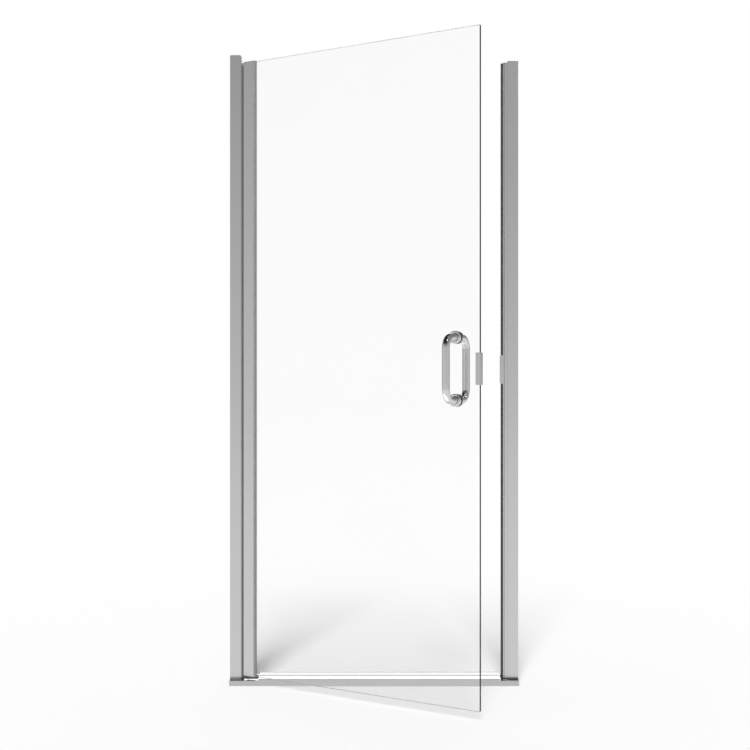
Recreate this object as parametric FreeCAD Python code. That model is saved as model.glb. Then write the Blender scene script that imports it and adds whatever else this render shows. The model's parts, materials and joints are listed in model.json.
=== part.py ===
import FreeCAD, Part
import math
import os

# Hinged shower door: a glass panel on a full-length hinge stile, between two wall jambs over a sill.
# Millimetres. +Z up, +X from the hinge wall to the strike wall, +Y into the shower.
# The origin is the centre of the sill's underside. The door stands open, out of the shower.

# Whole door
overall_width = 838.0
overall_height = 1829.0
strike_jamb_drop = 17.0
door_top_drop = 21.0
door_clearance = 4.4
rest_angle = 28.0
opening_angle = 100.0

# Sill. Between the stile and the strike it rises to a ledge, with a ramp and a dam behind it
sill_depth = 66.0
sill_front_height = 15.5
sill_height = 16.4
sill_apron = 13.0
sill_nose_radius = 0.8
sill_wall = 1.8
sill_chambers = 3
ledge_rise = 4.1
ledge_depth = 38.0
ledge_edge_radius = 1.0
ledge_end_space = 3.0
ramp_step = 0.8
ramp_rise = 2.1
dam_rise = 0.6
dam_width = 3.0
dam_edge_radius = 0.8

# Wall jambs, their feet, caps and wall holes
jamb_width = 31.0
jamb_depth = 36.0
jamb_front = -15.0
jamb_web = 2.0
jamb_flange = 1.8
jamb_corner_radius = 0.8
foot_thickness = 1.4
foot_side_inset = 0.5
foot_front_inset = 8.0
foot_pad_setback = 3.0
cap_thickness = 4.0
cap_edge_radius = 1.0
cap_plug_height = 12.0
wall_hole_diameter = 6.0
wall_hole_first = 150.0
wall_hole_top_distance = 179.0
wall_hole_count = 4

# Posts that slide in the jambs
post_clearance = 0.3
post_wall_space = 12.0
post_wall = 1.6
post_nose_radius = 1.0
post_back_radius = 1.0
hinge_post_reach = 33.5
strike_post_reach = 44.0
strike_post_drop = 4.2
post_cap_thickness = 2.0
groove_inset = 2.6
groove_width = 3.0
groove_depth = 1.5

# Slot in each post's nose, for the foot of a bearing or a seal
slot_inset = 6.4
slot_mouth = 3.0
slot_width = 8.0
slot_depth = 3.0
slot_lip = 1.6
slot_fit = 0.15

# Screws that lock the posts, put in from the shower side
lock_screw_diameter = 3.5
lock_screw_length = 9.0
lock_head_diameter = 7.5
lock_head_height = 2.4
lock_screw_end = 120.0
lock_screw_count = 3
lock_screw_reach = 22.0
screw_clearance = 0.1
recess_width = 0.9
recess_length = 4.2
recess_depth = 1.3

# Continuous hinge: a bead on the stile turns in a socket strip on the post
bead_radius = 2.4
bead_clearance = 0.08
bearing_wall = 1.1
bearing_stand_off = 0.3
hinge_axis_inset = 3.5
neck_thickness = 1.3
neck_angle = 55.0
socket_margin = 4.0
bearing_back_height = 7.0
bushing_height = 7.0
thrust_gap = 0.3

# Glass and stile
glass_thickness = 6.0
glass_corner_radius = 3.0
glass_arris = 0.6
stile_width = 40.0
stile_running_gap = 0.6
stile_lip = 7.5
stile_lip_radius = 7.0
rear_lip_setback = 11.0
stile_wall = 1.8
stile_corner_radius = 0.6
stile_cap_thickness = 2.2
stile_plug_height = 8.0
plug_fit = 0.2
pocket_depth = 20.0
glazing_thickness = 1.5

# Strike
strike_height = 915.0
keeper_thickness = 7.9
keeper_width = 18.0
keeper_length = 82.0
keeper_edge_radius = 1.5
keeper_screw_spacing = 70.0
keeper_screw_offset = 4.5
keeper_screw_diameter = 3.5
keeper_screw_length = 10.0
keeper_head_diameter = 6.6
keeper_head_height = 2.0
magnet_width = 9.0
magnet_length = 56.0
magnet_thickness = 1.4
seal_width = 10.0
seal_reach = 6.3
seal_wall = 1.2
seal_nose_radius = 3.6
seal_end_gap = 0.4
seal_floor_gap = 0.4

# Latch clip on the free edge of the glass
latch_gap = 5.0
latch_overhang = 3.0
latch_width = 14.0
latch_thickness = 16.7
latch_length = 84.0
latch_edge_radius = 1.0
latch_liner_thickness = 0.8
latch_screw_diameter = 4.0
latch_screw_spacing = 50.0
latch_screw_setback = 5.0
latch_screw_sink = 0.4

# Pair of D pulls, back to back through the glass
pull_height = 915.0
pull_edge_distance = 68.6
pull_spacing = 165.0
pull_diameter = 20.5
pull_reach = 64.0
pull_bend_radius = 30.0
pull_wall = 1.6
pull_plug_length = 24.0
collar_diameter = 34.0
collar_length = 9.5
collar_edge_radius = 1.8
collar_fit = 0.1
pad_diameter = 34.6
pad_thickness = 1.6
stud_diameter = 8.0
stud_engagement = 18.0
stud_fit = 0.1
glass_hole_diameter = 12.0
sleeve_fit = 0.1
set_screw_diameter = 5.0
set_screw_distance = 13.5
set_screw_sink = 0.3

# Heights and planes that follow from the sizes above
ledge_top = sill_height + ledge_rise
jamb_bottom = sill_height + foot_thickness
strike_jamb_height = overall_height - strike_jamb_drop
wall_hole_spacing = (overall_height - wall_hole_first - wall_hole_top_distance) / (wall_hole_count - 1)
door_bottom = ledge_top + door_clearance
door_top = overall_height - door_top_drop
stile_bottom = door_bottom + stile_cap_thickness
stile_top = door_top - stile_cap_thickness
jamb_back = jamb_front + jamb_depth
post_front = jamb_front + jamb_flange + post_clearance
post_back = jamb_back - jamb_flange - post_clearance
slot_y = post_front + slot_inset
nose_thickness = slot_lip + slot_depth + post_wall
strike_post_top = strike_jamb_height - strike_post_drop

# Hinge axis, and the door's own plane measured from it
socket_radius = bead_radius + bead_clearance
bearing_radius = socket_radius + bearing_wall
hinge_nose_x = hinge_post_reach - overall_width / 2
hinge_x = hinge_nose_x + bearing_stand_off + bearing_radius
hinge_y = jamb_front + hinge_axis_inset
stile_start = bearing_radius + stile_running_gap
stile_end = stile_start + stile_width
stile_front = -hinge_axis_inset
pocket_front = stile_front + stile_lip
glass_front = pocket_front + glazing_thickness
glass_back = glass_front + glass_thickness
glass_middle = (glass_front + glass_back) / 2
pocket_back = glass_back + glazing_thickness
rear_lip_end = stile_end - rear_lip_setback
stile_back = pocket_back + stile_lip
pocket_start = stile_end - pocket_depth
glass_start = pocket_start + glazing_thickness

# Strike line, and the free edge of the glass that closes on it
strike_nose_x = overall_width / 2 - strike_post_reach
keeper_face_x = strike_nose_x - keeper_thickness
glass_edge = keeper_face_x - latch_gap - latch_overhang - hinge_x
strike_y = hinge_y + glass_middle
pull_u = glass_edge - pull_edge_distance

# Directions, and the tolerance for picking edges
tiny = 1e-6
X_AXIS = FreeCAD.Vector(1, 0, 0)
Y_AXIS = FreeCAD.Vector(0, 1, 0)
Z_AXIS = FreeCAD.Vector(0, 0, 1)
ORIGIN = FreeCAD.Vector(0, 0, 0)


# Closed outline from corners (x, y) or (x, y, radius), as a face
def outline(corners):
    count = len(corners)
    points = [FreeCAD.Vector(corner[0], corner[1], 0) for corner in corners]
    turns = []
    for index, corner in enumerate(corners):
        here = points[index]
        radius = corner[2] if len(corner) > 2 else 0
        if radius == 0:
            turns.append((here, None, here))
            continue
        back = (points[index - 1] - here).normalize()
        ahead = (points[(index + 1) % count] - here).normalize()
        half = back.getAngle(ahead) / 2
        reach = radius / math.tan(half)
        inward = (back + ahead).normalize()
        middle = here + inward * (radius / math.sin(half) - radius)
        turns.append((here + back * reach, middle, here + ahead * reach))
    edges = []
    for index, (start, middle, end) in enumerate(turns):
        if middle is not None:
            edges.append(Part.Arc(start, middle, end).toShape())
        following = turns[(index + 1) % count][0]
        if not end.isEqual(following, tiny):
            edges.append(Part.LineSegment(end, following).toShape())
    return Part.Face(Part.Wire(edges))


# Upright prism on an outline
def upright(corners, bottom, top):
    solid = outline(corners).extrude(Z_AXIS * (top - bottom))
    solid.translate(Z_AXIS * bottom)
    return solid


# Rectangle's corners, all with one radius
def rectangle(x_low, x_high, y_low, y_high, radius=0):
    return [
        (x_low, y_low, radius),
        (x_high, y_low, radius),
        (x_high, y_high, radius),
        (x_low, y_high, radius),
    ]


def block(x_low, x_high, y_low, y_high, z_low, z_high):
    return upright(rectangle(x_low, x_high, y_low, y_high), z_low, z_high)


# Round bar from a point, along a direction
def bar(diameter, length, start, direction):
    return Part.makeCylinder(diameter / 2, length, start, direction)


# Prism along X on an outline drawn in Y and Z
def lengthwise(corners, x_low, x_high):
    solid = upright(corners, x_low, x_high)
    solid.rotate(ORIGIN, FreeCAD.Vector(1, 1, 1), 120)
    return solid


def mirrored_to_strike(solid):
    return solid.mirror(ORIGIN, X_AXIS)


# A distance from the hinge wall, as an X position
def from_wall(distance):
    return distance - overall_width / 2


# Even heights from first to last
def spread(first, last, count):
    step = (last - first) / (count - 1)
    return [first + step * index for index in range(count)]


# Hollow threshold. The jambs stand on its low ends, and the glass closes over its ledge
def make_sill():
    front = -sill_depth / 2
    back = sill_depth / 2
    half_width = overall_width / 2
    sill = lengthwise([
        (front, 0),
        (front, sill_front_height, sill_nose_radius),
        (front + sill_apron, sill_height),
        (back, sill_height),
        (back, 0),
    ], -half_width, half_width)
    ledge_start = hinge_x + stile_end + ledge_end_space
    ledge_stop = keeper_face_x - ledge_end_space
    ledge_back = front + ledge_depth
    ramp_foot = ledge_top + ramp_step
    ramp_top = ramp_foot + ramp_rise
    dam_front = back - dam_width
    dam_top = ramp_top + dam_rise
    sill = sill.fuse(lengthwise([
        (front, 0),
        (front, ledge_top, ledge_edge_radius),
        (ledge_back, ledge_top),
        (ledge_back, ramp_foot),
        (dam_front, ramp_top),
        (dam_front, dam_top),
        (back, dam_top, dam_edge_radius),
        (back, 0),
    ], ledge_start, ledge_stop)).removeSplitter()
    chamber_width = (sill_depth - sill_wall * (sill_chambers + 1)) / sill_chambers
    for index in range(sill_chambers):
        start = front + sill_wall + index * (chamber_width + sill_wall)
        chamber = rectangle(start, start + chamber_width, sill_wall, sill_front_height - sill_wall)
        sill = sill.cut(lengthwise(chamber, -half_width, half_width))
    under_ledge = rectangle(front + sill_wall, ledge_back - sill_wall, sill_height, ledge_top - sill_wall)
    under_ramp = [
        (ledge_back, sill_height),
        (back - sill_wall, sill_height),
        (back - sill_wall, ramp_top - sill_wall),
        (ledge_back, ramp_foot - sill_wall),
    ]
    for chamber in (under_ledge, under_ramp):
        sill = sill.cut(lengthwise(chamber, ledge_start, ledge_stop))
    return sill


# U channel, open towards the door, with wall holes in its web and screw holes in its inner flange
def make_jamb(top):
    web_x = from_wall(0)
    mouth_x = from_wall(jamb_width)
    jamb = upright([
        (web_x, jamb_front, jamb_corner_radius),
        (mouth_x, jamb_front),
        (mouth_x, jamb_front + jamb_flange),
        (web_x + jamb_web, jamb_front + jamb_flange),
        (web_x + jamb_web, jamb_back - jamb_flange),
        (mouth_x, jamb_back - jamb_flange),
        (mouth_x, jamb_back),
        (web_x, jamb_back, jamb_corner_radius),
    ], jamb_bottom, top - cap_thickness)
    middle_y = (jamb_front + jamb_back) / 2
    for index in range(wall_hole_count):
        height = wall_hole_first + index * wall_hole_spacing
        start = FreeCAD.Vector(web_x, middle_y, height)
        jamb = jamb.cut(bar(wall_hole_diameter, jamb_web, start, X_AXIS))
    return jamb.cut(lock_screw_holes(top))


# Cap over a jamb's top, with a plug in the space behind the post
def make_jamb_cap(top):
    seat = top - cap_thickness
    cap = block(from_wall(0), from_wall(jamb_width), jamb_front, jamb_back, seat, top)
    rim = [edge for edge in cap.Edges if edge.BoundBox.ZMin > top - tiny]
    cap = cap.makeFillet(cap_edge_radius, rim)
    plug_front = jamb_front + jamb_flange + plug_fit
    plug_back = jamb_back - jamb_flange - plug_fit
    plug_start = from_wall(jamb_web + plug_fit)
    plug_end = from_wall(post_wall_space - plug_fit)
    return cap.fuse(block(plug_start, plug_end, plug_front, plug_back, seat - cap_plug_height, seat))


# Rubber foot between a jamb and the sill: a wedge that runs out over the sill's apron, and a
# pad that goes on under the post as far as pad_end
def make_foot(pad_end):
    front = -sill_depth / 2
    slope = (sill_height - sill_front_height) / sill_apron
    toe = front + foot_front_inset
    wedge_end = from_wall(jamb_width - foot_side_inset)
    wedge = lengthwise([
        (toe, sill_front_height + slope * foot_front_inset),
        (front + sill_apron, sill_height),
        (jamb_back, sill_height),
        (jamb_back, jamb_bottom),
        (toe, jamb_bottom),
    ], from_wall(foot_side_inset), wedge_end)
    pad_front = jamb_front + foot_pad_setback
    pad = block(wedge_end, pad_end, pad_front, jamb_back, sill_height, jamb_bottom)
    return wedge.fuse(pad).removeSplitter()


# Hollow post with a slot in its nose. Distances run from the wall, as on the hinge side
def make_post(reach, top, jamb_top):
    nose_x = from_wall(reach)
    tail_x = from_wall(post_wall_space)
    inner_x = nose_x - nose_thickness
    post = upright([
        (tail_x, post_front, post_back_radius),
        (nose_x, post_front, post_nose_radius),
        (nose_x, post_back, post_nose_radius),
        (tail_x, post_back, post_back_radius),
    ], jamb_bottom, top)
    hollows = [
        rectangle(tail_x + post_wall, inner_x, post_front + post_wall, post_back - post_wall),
        rectangle(nose_x - slot_lip, nose_x, slot_y - slot_mouth / 2, slot_y + slot_mouth / 2),
        rectangle(inner_x + post_wall, nose_x - slot_lip, slot_y - slot_width / 2, slot_y + slot_width / 2),
        rectangle(
            inner_x + post_wall,
            nose_x - slot_lip,
            strike_y + keeper_width / 2,
            post_back - post_wall,
        ),
    ]
    for hollow in hollows:
        post = post.cut(upright(hollow, jamb_bottom, top))
    return post.cut(lock_screw_holes(jamb_top))


def lock_screw_heights(jamb_top):
    return spread(jamb_bottom + lock_screw_end, jamb_top - lock_screw_end, lock_screw_count)


# Holes through the jamb's inner flange and the post's wall
def lock_screw_holes(jamb_top):
    depth = jamb_flange + post_clearance + post_wall
    holes = []
    for height in lock_screw_heights(jamb_top):
        start = FreeCAD.Vector(from_wall(lock_screw_reach), jamb_back, height)
        holes.append(bar(lock_screw_diameter + 2 * screw_clearance, depth, start, -Y_AXIS))
    return Part.makeCompound(holes)


# Pan-head screws with a cross recess
def make_lock_screws(jamb_top):
    screws = []
    for height in lock_screw_heights(jamb_top):
        seat = FreeCAD.Vector(from_wall(lock_screw_reach), jamb_back, height)
        head = bar(lock_head_diameter, lock_head_height, seat, Y_AXIS)
        crown = seat.y + lock_head_height
        rim = [edge for edge in head.Edges if edge.BoundBox.YMin > crown - tiny]
        head = head.makeFillet(lock_head_height / 2, rim)
        screw = head.fuse(bar(lock_screw_diameter, lock_screw_length, seat, -Y_AXIS))
        for long_x, long_z in ((recess_length, recess_width), (recess_width, recess_length)):
            screw = screw.cut(block(
                seat.x - long_x / 2,
                seat.x + long_x / 2,
                crown - recess_depth,
                crown,
                height - long_z / 2,
                height + long_z / 2,
            ))
        screws.append(screw)
    return Part.makeCompound(screws)


# Foot that slides into the slot of a post whose nose is at nose_x
def slot_foot(nose_x, bottom, top):
    stem_half = slot_mouth / 2 - slot_fit
    head_half = slot_width / 2 - slot_fit
    head_front = nose_x - slot_lip - slot_fit
    head_back = nose_x - slot_lip - slot_depth + slot_fit
    stem = block(head_front, nose_x, slot_y - stem_half, slot_y + stem_half, bottom, top)
    return stem.fuse(block(head_back, head_front, slot_y - head_half, slot_y + head_half, bottom, top))


# Body of the hinge's fixed side: a round on the axis, its back on the post, and its foot
def bearing_body(bottom, top):
    centre = FreeCAD.Vector(hinge_x, hinge_y, bottom)
    body = bar(2 * bearing_radius, top - bottom, centre, Z_AXIS)
    back_front = hinge_y - bearing_wall
    back_end = hinge_y + bearing_back_height
    back = block(hinge_nose_x, hinge_x - bearing_wall, back_front, back_end, bottom, top)
    return body.fuse(back).fuse(slot_foot(hinge_nose_x, bottom, top))


# The same body with the bead's bore, and the mouth that the stile's neck sweeps through
def make_bearing(bottom, top):
    centre = FreeCAD.Vector(hinge_x, hinge_y, bottom)
    bearing = bearing_body(bottom, top).cut(bar(2 * socket_radius, top - bottom, centre, Z_AXIS))
    spread_angle = math.degrees(math.asin(neck_thickness / 2 / socket_radius)) + socket_margin
    first = neck_angle - opening_angle - spread_angle
    last = neck_angle + spread_angle
    mouth_reach = 2 * bearing_radius
    corners = [(hinge_x, hinge_y)]
    for angle in (first, (first + last) / 2, last):
        turn = math.radians(angle)
        corners.append((hinge_x + mouth_reach * math.cos(turn), hinge_y + mouth_reach * math.sin(turn)))
    return bearing.cut(upright(corners, bottom, top))


# Hollow bulb seal in the strike post's slot, drawn on the hinge side and mirrored
def make_seal(bottom, top):
    nose_x = from_wall(strike_post_reach)
    low = slot_y - seal_width / 2
    high = slot_y + seal_width / 2
    bulb = upright([
        (nose_x, low),
        (nose_x + seal_reach, low, seal_nose_radius),
        (nose_x + seal_reach, high, seal_nose_radius),
        (nose_x, high),
    ], bottom, top)
    hollow_radius = seal_nose_radius - seal_wall
    bulb = bulb.cut(upright([
        (nose_x + seal_wall, low + seal_wall),
        (nose_x + seal_reach - seal_wall, low + seal_wall, hollow_radius),
        (nose_x + seal_reach - seal_wall, high - seal_wall, hollow_radius),
        (nose_x + seal_wall, high - seal_wall),
    ], bottom, top))
    return mirrored_to_strike(bulb.fuse(slot_foot(nose_x, bottom, top)))


def keeper_screw_points():
    for height in (strike_height - keeper_screw_spacing / 2, strike_height + keeper_screw_spacing / 2):
        yield FreeCAD.Vector(keeper_face_x, strike_y + keeper_screw_offset, height)


# Countersunk screw along +X, with its head's face at the given point
def countersunk_screw(point, clearance):
    shank = keeper_screw_diameter / 2 + clearance
    head = keeper_head_diameter / 2 + clearance
    screw = Part.makeCone(head, shank, keeper_head_height, point, X_AXIS)
    return screw.fuse(Part.makeCylinder(shank, keeper_screw_length + clearance, point, X_AXIS))


def magnet_bar(x_low, x_high, y_middle):
    return block(
        x_low,
        x_high,
        y_middle - magnet_width / 2,
        y_middle + magnet_width / 2,
        strike_height - magnet_length / 2,
        strike_height + magnet_length / 2,
    )


# Strike block on the post's nose
def make_keeper():
    keeper = block(
        keeper_face_x,
        strike_nose_x,
        strike_y - keeper_width / 2,
        strike_y + keeper_width / 2,
        strike_height - keeper_length / 2,
        strike_height + keeper_length / 2,
    )
    rim = [edge for edge in keeper.Edges if edge.BoundBox.XMax < keeper_face_x + tiny]
    keeper = keeper.makeFillet(keeper_edge_radius, rim)
    keeper = keeper.cut(magnet_bar(keeper_face_x, keeper_face_x + magnet_thickness, strike_y))
    for point in keeper_screw_points():
        keeper = keeper.cut(countersunk_screw(point, screw_clearance))
    return keeper


def make_keeper_screws():
    screws = []
    half_slot = recess_width / 2
    for point in keeper_screw_points():
        screw = countersunk_screw(point, 0)
        for long_y, long_z in ((recess_length / 2, half_slot), (half_slot, recess_length / 2)):
            screw = screw.cut(block(
                point.x,
                point.x + recess_depth,
                point.y - long_y,
                point.y + long_y,
                point.z - long_z,
                point.z + long_z,
            ))
        screws.append(screw)
    return Part.makeCompound(screws)


# The hinge-side post, mirrored, with a V groove down its front and the strike's screw holes
def make_strike_post():
    top = strike_post_top - post_cap_thickness
    groove_end = from_wall(strike_post_reach - groove_inset)
    groove = [
        (groove_end - groove_width, post_front),
        (groove_end, post_front),
        (groove_end - groove_width / 2, post_front + groove_depth),
    ]
    post = make_post(strike_post_reach, top, strike_jamb_height)
    post = mirrored_to_strike(post.cut(upright(groove, jamb_bottom, top)))
    for point in keeper_screw_points():
        post = post.cut(countersunk_screw(point, screw_clearance))
    return post


# Thin cap on the part of the strike post that stands out of the jamb, with a plug in the post
def make_post_cap():
    nose_x = from_wall(strike_post_reach)
    tail_x = from_wall(post_wall_space)
    seat = strike_post_top - post_cap_thickness
    cap = upright([
        (tail_x, post_front, post_back_radius),
        (nose_x, post_front, post_nose_radius),
        (nose_x, post_back, post_nose_radius),
        (tail_x, post_back, post_back_radius),
    ], seat, strike_post_top)
    plug = block(
        tail_x + post_wall + plug_fit,
        nose_x - nose_thickness - plug_fit,
        post_front + post_wall + plug_fit,
        post_back - post_wall - plug_fit,
        seat - cap_plug_height,
        seat,
    )
    return mirrored_to_strike(cap.fuse(plug))


# Door pieces are drawn closed, with the hinge axis at X 0, Y 0, and are then swung open
def hang(solid):
    solid = solid.copy()
    solid.rotate(ORIGIN, Z_AXIS, -rest_angle)
    solid.translate(FreeCAD.Vector(hinge_x, hinge_y, 0))
    return solid


# The front lip is rounded and stands out past the rear one
def stile_outline():
    return [
        (stile_start, stile_front, stile_corner_radius),
        (stile_end, stile_front, stile_lip_radius),
        (stile_end, glass_middle),
        (rear_lip_end, glass_middle),
        (rear_lip_end, stile_back, stile_corner_radius),
        (stile_start, stile_back, stile_corner_radius),
    ]


def glazing_pocket(bottom, top):
    return block(pocket_start, stile_end, pocket_front, pocket_back, bottom, top)


def stile_chamber():
    return (
        stile_start + stile_wall,
        pocket_start - stile_wall,
        stile_front + stile_wall,
        stile_back - stile_wall,
    )


# Hollow stile with the glazing pocket on one side and the hinge bead on the other
def make_stile():
    stile = upright(stile_outline(), stile_bottom, stile_top).cut(glazing_pocket(stile_bottom, stile_top))
    chambers = [
        stile_chamber(),
        (pocket_start, stile_end - stile_lip_radius, stile_front + stile_wall, pocket_front - stile_wall),
        (pocket_start, rear_lip_end - stile_wall, pocket_back + stile_wall, stile_back - stile_wall),
    ]
    for chamber in chambers:
        stile = stile.cut(upright(rectangle(*chamber), stile_bottom, stile_top))
    turn = math.radians(neck_angle)
    neck_end = stile_start + stile_wall / 2
    neck_length = neck_end / math.cos(turn)
    half = neck_thickness / 2
    neck = block(0, neck_length, -half, half, stile_bottom, stile_top)
    neck.rotate(ORIGIN, Z_AXIS, neck_angle)
    bead = bar(2 * bead_radius, stile_top - stile_bottom, Z_AXIS * stile_bottom, Z_AXIS)
    return stile.fuse(neck).fuse(bead).removeSplitter()


# End cap of the stile, with a plug in its chamber on the side that faces the stile
def make_stile_cap(low, high, plug_low, plug_high):
    cap = upright(stile_outline(), low, high).cut(glazing_pocket(low, high))
    x_low, x_high, y_low, y_high = stile_chamber()
    plug = block(
        x_low + plug_fit,
        x_high - plug_fit,
        y_low + plug_fit,
        y_high - plug_fit,
        plug_low,
        plug_high,
    )
    return cap.fuse(plug)


def make_glazing_gasket():
    gasket = block(pocket_start, stile_end, pocket_front, glass_front, stile_bottom, stile_top)
    return gasket.fuse(block(pocket_start, glass_start, glass_front, glass_back, stile_bottom, stile_top))


def make_glazing_wedge():
    return block(pocket_start, rear_lip_end, glass_back, pocket_back, stile_bottom, stile_top)


def pull_heights():
    return (pull_height + pull_spacing / 2, pull_height - pull_spacing / 2)


# Glass drawn in its own plane, then stood up. The free corners are rounded and the edges arrissed
def make_glass():
    glass = outline([
        (glass_start, door_bottom),
        (glass_edge, door_bottom, glass_corner_radius),
        (glass_edge, door_top, glass_corner_radius),
        (glass_start, door_top),
    ]).extrude(Z_AXIS * glass_thickness)
    glass.rotate(ORIGIN, X_AXIS, 90)
    glass.translate(Y_AXIS * glass_back)
    faces = (glass_front, glass_back)
    rim = [edge for edge in glass.Edges if any(abs(edge.BoundBox.Center.y - y) < tiny for y in faces)]
    glass = glass.makeChamfer(glass_arris, rim)
    for height in pull_heights():
        start = FreeCAD.Vector(pull_u, glass_front, height)
        glass = glass.cut(bar(glass_hole_diameter, glass_thickness, start, Y_AXIS))
    return glass


# Round rod bent to a D, with each leg stopping short of its pad by trim
def bent_rod(diameter, trim):
    end_y = glass_front - pad_thickness - trim
    bar_y = glass_front - pull_reach
    upper, lower = pull_heights()
    bend = pull_bend_radius
    slack = bend * (1 - math.sqrt(0.5))

    def at(y, z):
        return FreeCAD.Vector(pull_u, y, z)

    bend_y = bar_y + bend
    crest_y = bar_y + slack
    path = Part.Wire([
        Part.LineSegment(at(end_y, upper), at(bend_y, upper)).toShape(),
        Part.Arc(at(bend_y, upper), at(crest_y, upper - slack), at(bar_y, upper - bend)).toShape(),
        Part.LineSegment(at(bar_y, upper - bend), at(bar_y, lower + bend)).toShape(),
        Part.Arc(at(bar_y, lower + bend), at(crest_y, lower + slack), at(bend_y, lower)).toShape(),
        Part.LineSegment(at(bend_y, lower), at(end_y, lower)).toShape(),
    ])
    # The seam runs along the rod's side, clear of the set screws' holes
    section = Part.Wire(Part.Circle(at(end_y, upper), Y_AXIS, diameter / 2).toShape())
    section.rotate(at(end_y, upper), Y_AXIS, 90)
    return path.makePipeShell([section], True, False)


# Tube with solid ends, drilled for the studs
def make_pull():
    pull = bent_rod(pull_diameter, 0).cut(bent_rod(pull_diameter - 2 * pull_wall, pull_plug_length))
    for height in pull_heights():
        start = FreeCAD.Vector(pull_u, glass_front - pad_thickness, height)
        pull = pull.cut(bar(stud_diameter + 2 * stud_fit, stud_engagement, start, -Y_AXIS))
    return pull


# Turned ring about a leg's axis: the profile is drawn as (radius, distance from the glass)
def turned(profile, height):
    ring = outline(profile).revolve(ORIGIN, Y_AXIS, 360)
    ring.rotate(ORIGIN, Z_AXIS, 180)
    ring.translate(FreeCAD.Vector(pull_u, glass_front, height))
    return ring


def make_collar(height):
    inner = pull_diameter / 2 + collar_fit
    outer = collar_diameter / 2
    return turned([
        (inner, pad_thickness),
        (outer, pad_thickness),
        (outer, pad_thickness + collar_length, collar_edge_radius),
        (inner, pad_thickness + collar_length),
    ], height)


def make_pad(height):
    inner = stud_diameter / 2 + stud_fit
    return turned(rectangle(inner, pad_diameter / 2, 0, pad_thickness), height)


# Pieces behind the glass are those in front, mirrored in the glass
def behind_glass(solid):
    return solid.mirror(Y_AXIS * glass_middle, Y_AXIS)


def make_stud(height):
    end_y = glass_front - pad_thickness - stud_engagement
    length = 2 * (glass_middle - end_y)
    return bar(stud_diameter, length, FreeCAD.Vector(pull_u, end_y, height), Y_AXIS)


def make_sleeve(height):
    start = FreeCAD.Vector(pull_u, glass_front, height)
    sleeve = bar(glass_hole_diameter - 2 * sleeve_fit, glass_thickness, start, Y_AXIS)
    return sleeve.cut(bar(stud_diameter + 2 * stud_fit, glass_thickness, start, Y_AXIS))


# Bars under the rear pull's legs, starting a drop below the studs' axes: the set screws, or their holes
def set_screws(diameter, drop, length):
    y = glass_back + pad_thickness + set_screw_distance
    return [
        bar(diameter, length, FreeCAD.Vector(pull_u, y, height - drop), -Z_AXIS)
        for height in pull_heights()
    ]


def make_set_screws():
    drop = stud_diameter / 2 + stud_fit
    length = pull_diameter / 2 - drop - set_screw_sink
    return Part.makeCompound(set_screws(set_screw_diameter, drop, length))


def make_rear_pull():
    pull = behind_glass(make_pull())
    for hole in set_screws(set_screw_diameter + 2 * screw_clearance, 0, pull_diameter):
        pull = pull.cut(hole)
    return pull


# Clip round the free edge of the glass
def make_latch_body():
    end = glass_edge + latch_overhang
    low = strike_height - latch_length / 2
    high = strike_height + latch_length / 2
    half = latch_thickness / 2
    body = block(end - latch_width, end, glass_middle - half, glass_middle + half, low, high)
    body = body.makeFillet(latch_edge_radius, body.Edges)
    slot_front = glass_front - latch_liner_thickness
    slot_back = glass_back + latch_liner_thickness
    slot_end = glass_edge + latch_liner_thickness
    body = body.cut(block(end - latch_width, slot_end, slot_front, slot_back, low, high))
    body = body.cut(magnet_bar(end - magnet_thickness, end, glass_middle))
    for hole in latch_screws(latch_screw_diameter + 2 * screw_clearance, latch_thickness / 2):
        body = body.cut(hole)
    return body


def make_latch_liner():
    start = glass_edge + latch_overhang - latch_width + latch_edge_radius
    low = strike_height - latch_length / 2 + latch_edge_radius
    high = strike_height + latch_length / 2 - latch_edge_radius
    front = glass_front - latch_liner_thickness
    back = glass_back + latch_liner_thickness
    liner = block(start, glass_edge + latch_liner_thickness, front, back, low, high)
    return liner.cut(block(start, glass_edge, glass_front, glass_back, low, high))


# Bars from the liner out through the clip's inner side: the clamp screws, or the holes for them
def latch_screws(diameter, length):
    x = glass_edge - latch_screw_setback
    y = glass_back + latch_liner_thickness
    heights = spread(strike_height - latch_screw_spacing / 2, strike_height + latch_screw_spacing / 2, 2)
    return [bar(diameter, length, FreeCAD.Vector(x, y, height), Y_AXIS) for height in heights]


def make_latch_screws():
    cheek = (latch_thickness - glass_thickness) / 2 - latch_liner_thickness
    return Part.makeCompound(latch_screws(latch_screw_diameter, cheek - latch_screw_sink))


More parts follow.
